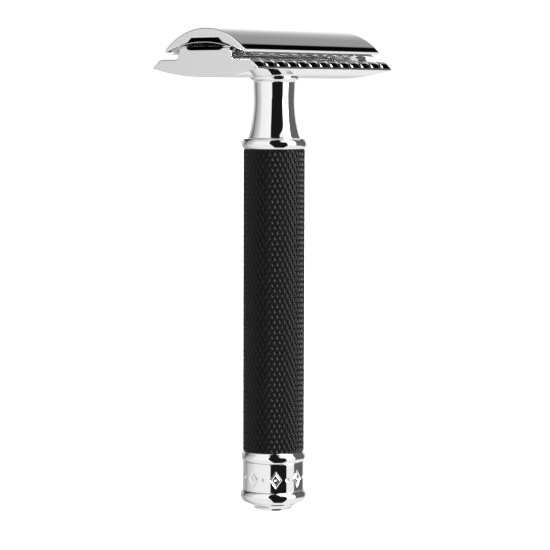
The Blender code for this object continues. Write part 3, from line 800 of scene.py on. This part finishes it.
def box_mesh(low, high):
    """Vertices and faces of a box between two corners."""
    verts = [(x, y, z) for x in (low[0], high[0]) for y in (low[1], high[1]) for z in (low[2], high[2])]
    faces = [(0, 1, 3, 2), (4, 6, 7, 5), (0, 4, 5, 1), (2, 3, 7, 6), (0, 2, 6, 4), (1, 5, 7, 3)]
    return verts, faces


def make_blade():
    """The blade in its clamped bend, with honed edges, end tabs and its slot."""
    half_angle = math.asin(BLADE_HIGH.y / BLADE_BEND)
    honed_angle = half_angle - BLADE_HONED / BLADE_BEND
    count = 48
    angles = [-honed_angle + 2 * honed_angle * step / count for step in range(count + 1)]
    upper = [(BLADE_BEND + BLADE_THICKNESS / 2, angle) for angle in angles]
    lower = [(BLADE_BEND - BLADE_THICKNESS / 2, angle) for angle in reversed(angles)]
    right = [(BLADE_BEND + side * BLADE_HONED_TIP / 2, half_angle) for side in (1, -1)]
    left = [(BLADE_BEND + side * BLADE_HONED_TIP / 2, -half_angle) for side in (-1, 1)]
    section = [(radius * math.sin(angle), BEND_CENTRE + radius * math.cos(angle))
               for radius, angle in upper + right + lower + left]
    section.reverse()
    length = BLADE_HIGH.x
    verts, faces = loft_mesh([(-length, section), (length, section)])
    blade = make_piece("bent_blade", verts, faces, GROUND_STEEL, "blade_strip", ["blade"])
    blade.data.materials.append(HONED_STEEL)
    low, high = BLADE_CROWN - 6, BLADE_CROWN + 1
    stud = box("threaded_stud")[1].x
    cut_round(blade, "middle_hole", stud + STUD_CLEARANCE, low, high, (0.0, 0.0))
    slot_end = (SLOT_LENGTH / 2, SLOT_WIDTH / 2, high)
    add_cut(blade, "slot", *box_mesh((-slot_end[0], -slot_end[1], low), slot_end))
    for node in ("locating_pin_left", "locating_pin_right"):
        pin_low, pin_high = box(node)
        spot = ((pin_low.x + pin_high.x) / 2, 0.0)
        cut_round(blade, "side_hole", (pin_high.x - pin_low.x) / 2 + PIN_CLEARANCE, low, high, spot)
    for side in (-1, 1):
        for edge in (-1, 1):
            along = sorted((side * BLADE_EDGE / 2, side * length * 2))
            across = sorted((edge * BLADE_TAB / 2, edge * BLADE_HIGH.y * 2))
            add_cut(blade, "notch", *box_mesh((along[0], across[0], low), (along[1], across[1], high)))
    apply_cuts(blade)
    honed_from = BLADE_BEND * math.sin(honed_angle) * MM
    for face in blade.data.polygons:
        face.material_index = 1 if abs(face.center.y) > honed_from else 0


def make_stud():
    """The cap's stud, with a right-hand thread and a plain shank."""
    low, high = box("threaded_stud")
    radius = high.x
    root = radius - THREAD_DEPTH
    thread_top = cap_corners()[1] - SEAM
    columns = 72
    per_pitch = 12
    profile = []
    for step in range(per_pitch):
        phase = abs(step / per_pitch - 0.5)
        profile.append(root + (radius - root) * min(1.0, max(0.0, 1.7 - 4.0 * phase)))
    turns = int((thread_top - low.z) / THREAD_PITCH) - 1
    rows = turns * per_pitch
    start = low.z + 0.15
    verts, faces = [], []
    for row in range(rows + 1):
        for column in range(columns):
            share = column / columns
            level = start + THREAD_PITCH * (row / per_pitch + share)
            from_start = (level - start) / THREAD_PITCH
            fade = min(1.0, from_start, turns + 1 - from_start)
            reach = root + (profile[row % per_pitch] - root) * max(0.0, fade)
            angle = 2 * math.pi * share
            verts.append((reach * math.cos(angle), reach * math.sin(angle), level))
    for row in range(rows):
        for column in range(columns):
            first = row * columns + column
            if column < columns - 1:
                faces.append([first, first + 1, first + columns + 1, first + columns])
            elif row + per_pitch < rows:
                wrap = (row + per_pitch) * columns
                faces.append([first, wrap, wrap + columns, first + columns])
    bottom_loop = list(range(columns)) + [row * columns for row in range(per_pitch, 0, -1)]
    top_row = rows * columns
    last = columns - 1
    top_loop = [top_row + column for column in range(columns)]
    top_loop += [(rows - per_pitch + step) * columns + last for step in range(per_pitch, 0, -1)][1:]
    top_loop += [(rows - per_pitch) * columns + last]
    foot = len(verts)
    verts.append((0.0, 0.0, low.z))
    for index, corner in enumerate(bottom_loop):
        faces.append([foot, bottom_loop[(index + 1) % len(bottom_loop)], corner])
    shank = 2.0
    ring = len(verts)
    count = len(top_loop)
    for level in (thread_top, high.z):
        for corner in top_loop:
            x, y, z = verts[corner]
            scale = shank / math.hypot(x, y)
            verts.append((x * scale, y * scale, level))
    crown = len(verts)
    verts.append((0.0, 0.0, high.z))
    for step in range(count):
        after = (step + 1) % count
        faces.append([top_loop[step], top_loop[after], ring + after, ring + step])
        faces.append([ring + step, ring + after, ring + count + after, ring + count + step])
        faces.append([ring + count + step, ring + count + after, crown])
    make_piece("right_hand_stud", verts, faces, STUD_CHROME, "cap", ["threaded_stud"])


def make_pins():
    """The two locating pins."""
    for node, name in (("locating_pin_left", "left_pin"), ("locating_pin_right", "right_pin")):
        low, high = box(node)
        radius = (high.x - low.x) / 2
        spot = ((low.x + high.x) / 2, 0.0)
        corners = [(0.0, low.z, 0.0), (radius - 0.3, low.z, 0.1), (radius, low.z + 0.3, 0.1),
                   (radius, high.z, 0.05), (0.0, high.z, 0.0)]
        lathe(name, corners, CHROME, "cap", [node], 64, None, spot)


# ---------------------------------------------------------------- studio

def ramp(nodes, links, value, stops):
    """A grey ramp over (place, brightness) stops."""
    node = nodes.new("ShaderNodeValToRGB")
    elements = node.color_ramp.elements
    while len(elements) > 1:
        elements.remove(elements[-1])
    elements[0].position = stops[0][0]
    elements[0].color = (stops[0][1],) * 3 + (1.0,)
    for place, brightness in stops[1:]:
        element = elements.new(place)
        element.color = (brightness,) * 3 + (1.0,)
    links.new(value, node.inputs["Fac"])
    return node.outputs["Color"]


def maths(nodes, links, operation, first, second=None):
    """A math node on values or sockets."""
    node = nodes.new("ShaderNodeMath")
    node.operation = operation
    for socket, value in zip(node.inputs, (first, second)):
        if value is None:
            continue
        if isinstance(value, (int, float)):
            socket.default_value = value
        else:
            links.new(value, socket)
    return node.outputs["Value"]


def mix_colours(nodes, links, factor, first, second):
    """A colour between two colour sockets."""
    node = nodes.new("ShaderNodeMix")
    node.data_type = "RGBA"
    links.new(factor, node.inputs["Factor"])
    links.new(first, node.inputs["A"])
    links.new(second, node.inputs["B"])
    return node.outputs["Result"]


def plain_colour(nodes, grey):
    """A socket that gives one grey."""
    node = nodes.new("ShaderNodeRGB")
    node.outputs[0].default_value = (grey, grey, grey, 1.0)
    return node.outputs[0]


def make_world():
    """A white studio: soft boxes all round, a narrow flag in front, a grey one at the right."""
    world = bpy.data.worlds.new("studio")
    bpy.context.scene.world = world
    world.use_nodes = True
    nodes, links = world.node_tree.nodes, world.node_tree.links
    nodes.clear()
    azimuth = math.radians(CAMERA_AZIMUTH)
    front = (math.sin(azimuth), -math.cos(azimuth), 0.0)
    right = (math.cos(azimuth), math.sin(azimuth), 0.0)
    place = nodes.new("ShaderNodeTexCoord").outputs["Generated"]
    parts = []
    for axis in (right, front, (0.0, 0.0, 1.0)):
        dot = nodes.new("ShaderNodeVectorMath")
        dot.operation = "DOT_PRODUCT"
        dot.inputs[1].default_value = axis
        links.new(place, dot.inputs[0])
        parts.append(dot.outputs["Value"])
    turn = maths(nodes, links, "ARCTAN2", parts[0], parts[1])
    turn = ranged(nodes, links, turn, 0.0, 1.0, -math.pi, math.pi)
    height = maths(nodes, links, "ARCSINE", parts[2])
    height = ranged(nodes, links, height, 0.0, 1.0, -math.pi / 2, math.pi / 2)
    colour = ramp(nodes, links, turn, stops_round(HORIZON))
    behind = ramp(nodes, links, height, stops_up(BEHIND))
    behind_share = ramp(nodes, links, turn, stops_round(BEHIND_SHARE))
    low = ramp(nodes, links, turn, stops_round(LOW))
    low_share = ramp(nodes, links, height, stops_up(LOW_SHARE))
    colour = mix_colours(nodes, links, low_share, colour, low)
    panel = maths(nodes, links, "MULTIPLY", ramp(nodes, links, turn, stops_round(PANEL)),
                  ramp(nodes, links, height, stops_up(PANEL_SHARE)))
    colour = mix_colours(nodes, links, panel, colour, plain_colour(nodes, PANEL_GREY))
    colour = mix_colours(nodes, links, behind_share, colour, behind)
    shade = maths(nodes, links, "MULTIPLY", ramp(nodes, links, turn, stops_round(SHADE)),
                  ramp(nodes, links, height, stops_up(SHADE_SHARE)))
    colour = mix_colours(nodes, links, shade, colour, plain_colour(nodes, SHADE_GREY))
    flag_left = ramp(nodes, links, height, angles_up(FLAG_LEFT))
    flag_right = ramp(nodes, links, height, angles_up(FLAG_RIGHT))
    past_left = maths(nodes, links, "SUBTRACT", turn, flag_left)
    short_of_right = maths(nodes, links, "SUBTRACT", flag_right, turn)
    nearest = maths(nodes, links, "MINIMUM", past_left, short_of_right)
    flag = ranged(nodes, links, nearest, 0.0, 1.0, 0.0, FLAG_EDGE / 360)
    flag = maths(nodes, links, "MULTIPLY", flag, ramp(nodes, links, height, stops_up(FLAG_SHARE)))
    rear = ramp(nodes, links, height, angles_up(REAR_EDGE))
    rear = ranged(nodes, links, maths(nodes, links, "SUBTRACT", rear, turn), 0.0, 1.0, 0.0, FLAG_EDGE / 360)
    rear = maths(nodes, links, "MULTIPLY", rear, ramp(nodes, links, turn, stops_round(REAR_SHARE)))
    rear = maths(nodes, links, "MULTIPLY", rear, ramp(nodes, links, height, stops_up(REAR_HIGH)))
    colour = mix_colours(nodes, links, rear, colour, plain_colour(nodes, REAR_GREY))
    flag = maths(nodes, links, "MAXIMUM", flag, ramp(nodes, links, height, stops_up(HIGH_SHARE)))
    colour = mix_colours(nodes, links, flag, colour, plain_colour(nodes, FLAG_GREY))
    strong = maths(nodes, links, "MULTIPLY", ramp(nodes, links, turn, stops_round(STRONG)),
                   ramp(nodes, links, height, stops_up(STRONG_SHARE)))
    studio = nodes.new("ShaderNodeBackground")
    links.new(colour, studio.inputs["Color"])
    links.new(maths(nodes, links, "ADD", maths(nodes, links, "MULTIPLY", strong, STRONG_LIGHT), 1.0),
              studio.inputs["Strength"])
    backdrop = nodes.new("ShaderNodeBackground")
    backdrop.inputs["Color"].default_value = (1.0, 1.0, 1.0, 1.0)
    backdrop.inputs["Strength"].default_value = 1.02
    seen = nodes.new("ShaderNodeLightPath")
    mix = nodes.new("ShaderNodeMixShader")
    links.new(seen.outputs["Is Camera Ray"], mix.inputs["Fac"])
    links.new(studio.outputs["Background"], mix.inputs[1])
    links.new(backdrop.outputs["Background"], mix.inputs[2])
    output = nodes.new("ShaderNodeOutputWorld")
    links.new(mix.outputs["Shader"], output.inputs["Surface"])


def stops_round(stops):
    """Stops in degrees from the camera's own direction, positive to the right, as ramp places."""
    return [((degrees + 180) / 360, brightness) for degrees, brightness in stops]


def stops_up(stops):
    """Stops in degrees above level, as ramp places."""
    return [((degrees + 90) / 180, brightness) for degrees, brightness in stops]


def angles_up(stops):
    """Stops in degrees above level whose value is a direction in degrees, as ramp places."""
    return [((degrees + 90) / 180, (direction + 180) / 360) for degrees, direction in stops]


# Brightness round the studio, by degrees from the camera's direction. A _SHARE says where a part of the
# studio shows, round or up, and _LEFT, _RIGHT and _EDGE say where a dark flag ends at each height.
HORIZON = [(-180, 0.85), (-140, 0.55), (-125, 0.20), (-118, 0.20), (-112, 0.38), (-95, 0.55), (-80, 0.76),
           (-72, 0.97), (-20, 1.05), (149, 1.0), (180, 0.92)]
LOW = [(-180, 0.62), (-165, 0.55), (-140, 0.42), (-125, 0.42), (-108, 0.68), (-91, 0.82), (-62, 0.92),
       (-15, 0.95), (180, 0.92)]
LOW_SHARE = [(-90, 1.0), (-12, 1.0), (-4, 0.0), (90, 0.0)]
PANEL = [(-180, 0.0), (83, 0.0), (86, 1.0), (144, 1.0), (149, 0.0), (180, 0.0)]
PANEL_SHARE = [(-90, 0.0), (-20, 0.0), (-13, 1.0), (90, 1.0)]
PANEL_GREY = 0.135
SHADE = [(-180, 0.0), (-166, 0.0), (-155, 1.0), (-122, 1.0), (-108, 0.0), (180, 0.0)]
SHADE_SHARE = [(-90, 0.0), (13, 0.0), (21, 1.0), (90, 1.0)]
SHADE_GREY = 0.05
BEHIND = [(-90, 0.92), (-20, 0.90), (-12, 0.88), (-9, 0.70), (-5, 0.62), (-2, 0.68), (0, 0.80), (5, 0.98),
          (8, 0.95), (13.5, 0.84), (17.5, 0.70), (21, 0.58), (23.5, 0.50), (26, 0.44), (28.5, 0.40),
          (30.5, 0.345), (36, 0.335), (90, 0.335)]
BEHIND_SHARE = [(-180, 1.0), (-172, 1.0), (-160, 0.0), (144, 0.0), (149, 1.0), (180, 1.0)]
HIGH_SHARE = [(-90, 0.0), (74, 0.0), (82, 1.0), (90, 1.0)]
FLAG_LEFT = [(-90, 3), (-60, 2), (-42, -3), (-25, -8), (-8.5, -12), (0, -16), (25, -19), (90, -17)]
FLAG_RIGHT = [(-90, 50), (-60, 46), (-30, 50), (-8.5, 52), (0, 48), (22, 48), (27, 42), (33, 28), (90, 28)]
FLAG_SHARE = [(-90, 0.0), (-62, 0.0), (-54, 1.0), (90, 1.0)]
REAR_EDGE = [(-90, 149), (20, 149), (34, 151), (39, 154), (45, 158), (90, 158)]
REAR_SHARE = [(-180, 0.0), (132, 0.0), (138, 1.0), (180, 1.0)]
REAR_HIGH = [(-90, 0.0), (20, 0.0), (25, 1.0), (90, 1.0)]
FLAG_EDGE = 2.0                 # width of the flag's soft edge
FLAG_GREY = 0.010
REAR_GREY = 0.002
STRONG_LIGHT = 12.0
STRONG = [(-180, 0.0), (50, 0.0), (53, 1.0), (79, 1.0), (82, 0.0), (180, 0.0)]
STRONG_SHARE = [(-90, 0.0), (-6, 0.0), (0, 1.0), (90, 1.0)]


def make_floor():
    """A pale sweep of floor; it isn't part of the razor."""
    size = 4.0
    mesh = bpy.data.meshes.new("floor")
    corners = [(-size, -size, 0), (size, -size, 0), (size, size, 0), (-size, size, 0)]
    mesh.from_pydata(corners, [], [(0, 1, 2, 3)])
    material, nodes, links, shader = new_material("pale_floor")
    shader.inputs["Base Color"].default_value = (0.93, 0.93, 0.93, 1.0)
    shader.inputs["Roughness"].default_value = 0.9
    shader.inputs["Emission Color"].default_value = (1.0, 1.0, 1.0, 1.0)
    shader.inputs["Emission Strength"].default_value = 0.9
    mesh.materials.append(material)
    floor = bpy.data.objects.new("floor", mesh)
    bpy.context.scene.collection.objects.link(floor)
    floor.visible_glossy = False


def make_camera():
    """The camera at the viewpoint of the picture."""
    data = bpy.data.cameras.new("camera")
    data.lens = CAMERA_LENS
    data.sensor_width = 36.0
    data.shift_x = CAMERA_SHIFT
    data.clip_start = 0.01
    data.clip_end = 20.0
    camera = bpy.data.objects.new("camera", data)
    bpy.context.scene.collection.objects.link(camera)
    azimuth = math.radians(CAMERA_AZIMUTH)
    back = Vector((math.sin(azimuth), -math.cos(azimuth), 0.0))
    camera.location = back * CAMERA_DISTANCE * MM + Vector((0.0, 0.0, CAMERA_HEIGHT * MM))
    pitch = math.radians(CAMERA_PITCH)
    look = -back * math.cos(pitch) - Vector((0.0, 0.0, math.sin(pitch)))
    turn = look.to_track_quat("-Z", "Y")
    camera.rotation_mode = "QUATERNION"
    camera.rotation_quaternion = turn @ Quaternion((0.0, 0.0, 1.0), math.radians(CAMERA_ROLL))
    bpy.context.scene.camera = camera


def finish_hidden_nodes():
    """Materials for the CAD nodes inside the handle, which keep their own meshes."""
    plan = {"core_tube": ALUMINIUM, "tie_rod": TURNED_STEEL, "rod_washer": TURNED_STEEL,
            "rod_nut": TURNED_STEEL, "thread_insert": BRASS, "end_cap_seal": RUBBER,
            "lower_seal": RUBBER, "upper_seal": RUBBER}
    for name, material in plan.items():
        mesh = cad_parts[name].data
        mesh.materials.clear()
        mesh.materials.append(material)


make_foot()
make_end_cap()
make_beads()
make_band()
make_grip()
make_neck()
make_plate()
make_blade()
make_cap()
make_stud()
make_pins()
finish_hidden_nodes()
make_world()
make_floor()
make_camera()
bpy.context.scene.view_settings.view_transform = "Standard"
